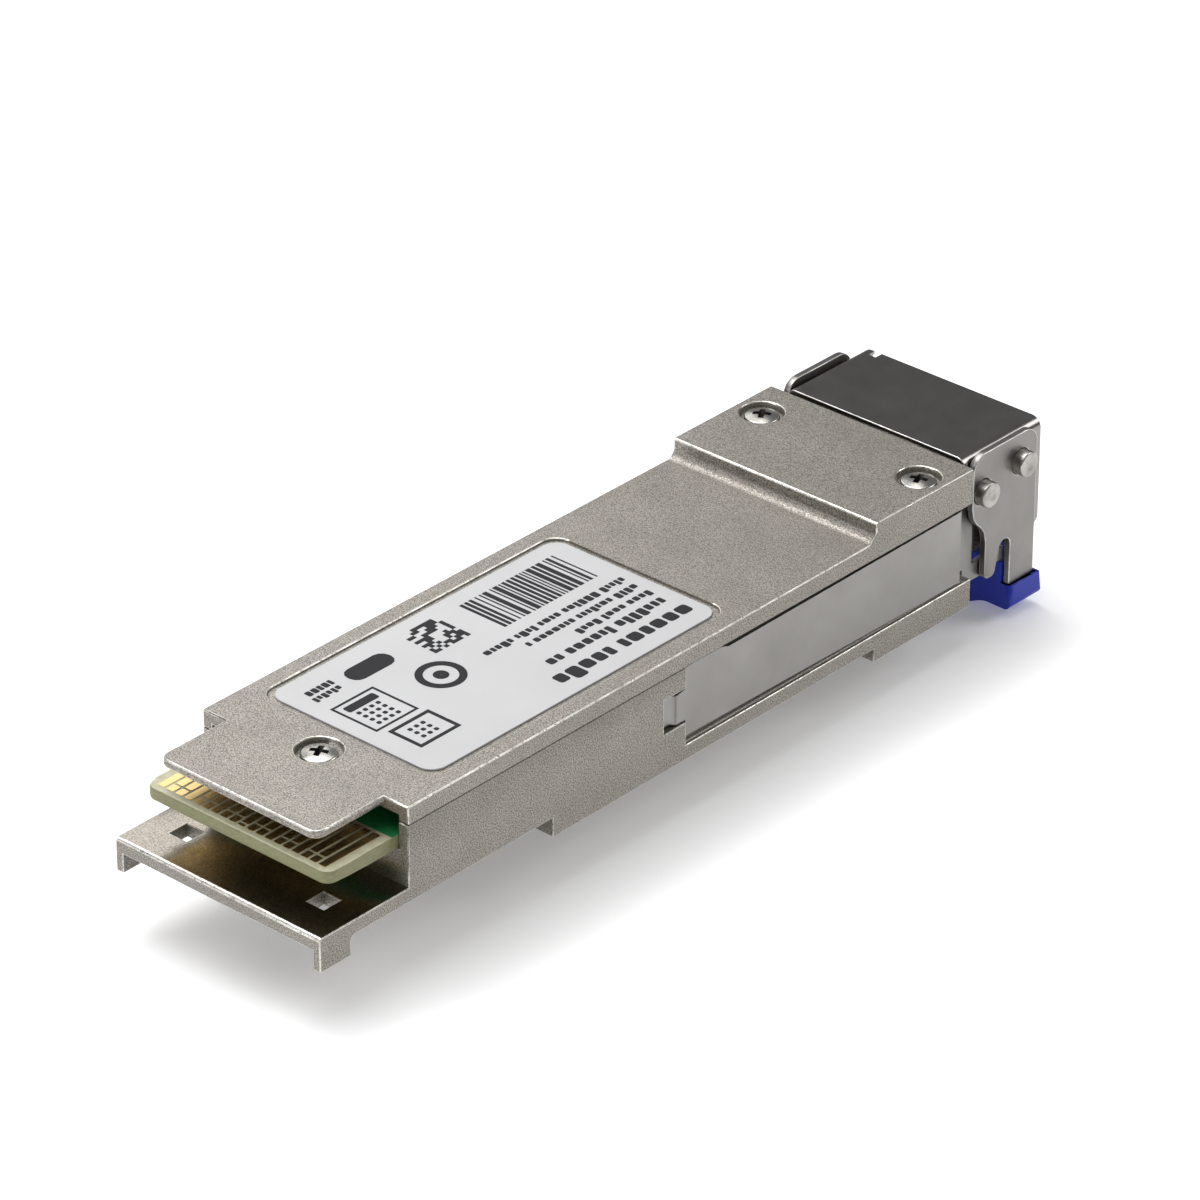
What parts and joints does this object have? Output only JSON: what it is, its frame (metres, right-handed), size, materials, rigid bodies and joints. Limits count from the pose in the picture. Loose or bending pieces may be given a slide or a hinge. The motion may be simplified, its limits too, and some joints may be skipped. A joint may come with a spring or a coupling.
{
  "type": "optical transceiver module",
  "caption": "Slim pluggable optical transceiver with a card edge at one end and a duplex fibre receptacle, swinging bail and latch slider at the other.",
  "frame": {"origin": "centre of the bounding box in x and y, at the lowest point, which is the underside of the bail grip", "axes": "+Y from the card edge to the fibre end along the length, +Z the label side, +X the right side seen from the card edge with the label up"},
  "size_m": [0.019, 0.0738, 0.0146],
  "materials": {
    "cast_zinc": "blasted and nickel plated zinc casting",
    "receptacle_metal": "nickel plated casting",
    "sheet_steel": "satin stainless sheet",
    "shield_steel": "polished stainless sheet",
    "screw_steel": "bright plated steel",
    "spring_steel": "drawn spring wire",
    "label_paper": "coated white label stock",
    "board_laminate": "green solder mask on glass laminate",
    "contact_gold": "gold plated contact pads",
    "label_ink": "black print",
    "flex_film": "amber polyimide film",
    "chip_plastic": "moulded epoxy",
    "capacitor_body": "ceramic chip body",
    "optics_metal": "gold plated metal package",
    "ceramic": "ground zirconia",
    "thermal_pad": "soft gap filler",
    "gasket_rubber": "conductive elastomer",
    "blue_plastic": "moulded blue polymer, satin"
  },
  "bodies": {
    "root": {"base_housing": "cast_zinc", "top_cover": "cast_zinc", "optical_receptacle": "receptacle_metal", "product_label": "label_paper", "main_board": "board_laminate", "front_shield": "shield_steel", "shield_gasket": "gasket_rubber", "subassembly_clamp": "sheet_steel", "transmitter_subassembly": "optics_metal", "receiver_subassembly": "optics_metal", "transmitter_sleeve": "ceramic", "receiver_sleeve": "ceramic", "transmitter_flex": "flex_film", "receiver_flex": "flex_film", "return_spring_left": "spring_steel", "return_spring_right": "spring_steel", "pivot_pin_left": "screw_steel", "pivot_pin_right": "screw_steel", "cover_screw_near": "screw_steel", "cover_screw_far_left": "screw_steel", "cover_screw_far_right": "screw_steel", "laser_driver_chip": "chip_plastic", "receiver_chip": "chip_plastic", "microcontroller_chip": "chip_plastic", "power_chip": "chip_plastic", "power_inductor": "chip_plastic", "bulk_capacitor_left": "capacitor_body", "bulk_capacitor_right": "capacitor_body", "clock_crystal": "optics_metal", "driver_thermal_pad": "thermal_pad", "transmitter_thermal_pad": "thermal_pad"},
    "slider": {"latch_slider": "sheet_steel"},
    "bail": {"bail_arm_left": "sheet_steel", "bail_arm_right": "sheet_steel", "bail_grip": "blue_plastic", "bail_stud_left": "screw_steel", "bail_stud_right": "screw_steel"}
  },
  "joints": [
    {"name": "bail_swing", "type": "hinge", "parent": "root", "child": "bail", "pos_m": [0, 0.03395, 0.0123], "axis": [1, 0, 0], "range_deg": [0, 90], "stiffness_Nm_per_rad": 0.0002, "springref_deg": -20.05},
    {"name": "latch_slide", "type": "slide", "parent": "root", "child": "slider", "axis": [0, 1, 0], "range_m": [0, 0.0018], "deforming": ["return_spring_left", "return_spring_right"]}
  ],
  "couplings": [
    {"joint": "latch_slide", "follows": "bail_swing", "m_per_rad": 0.00114}
  ]
}
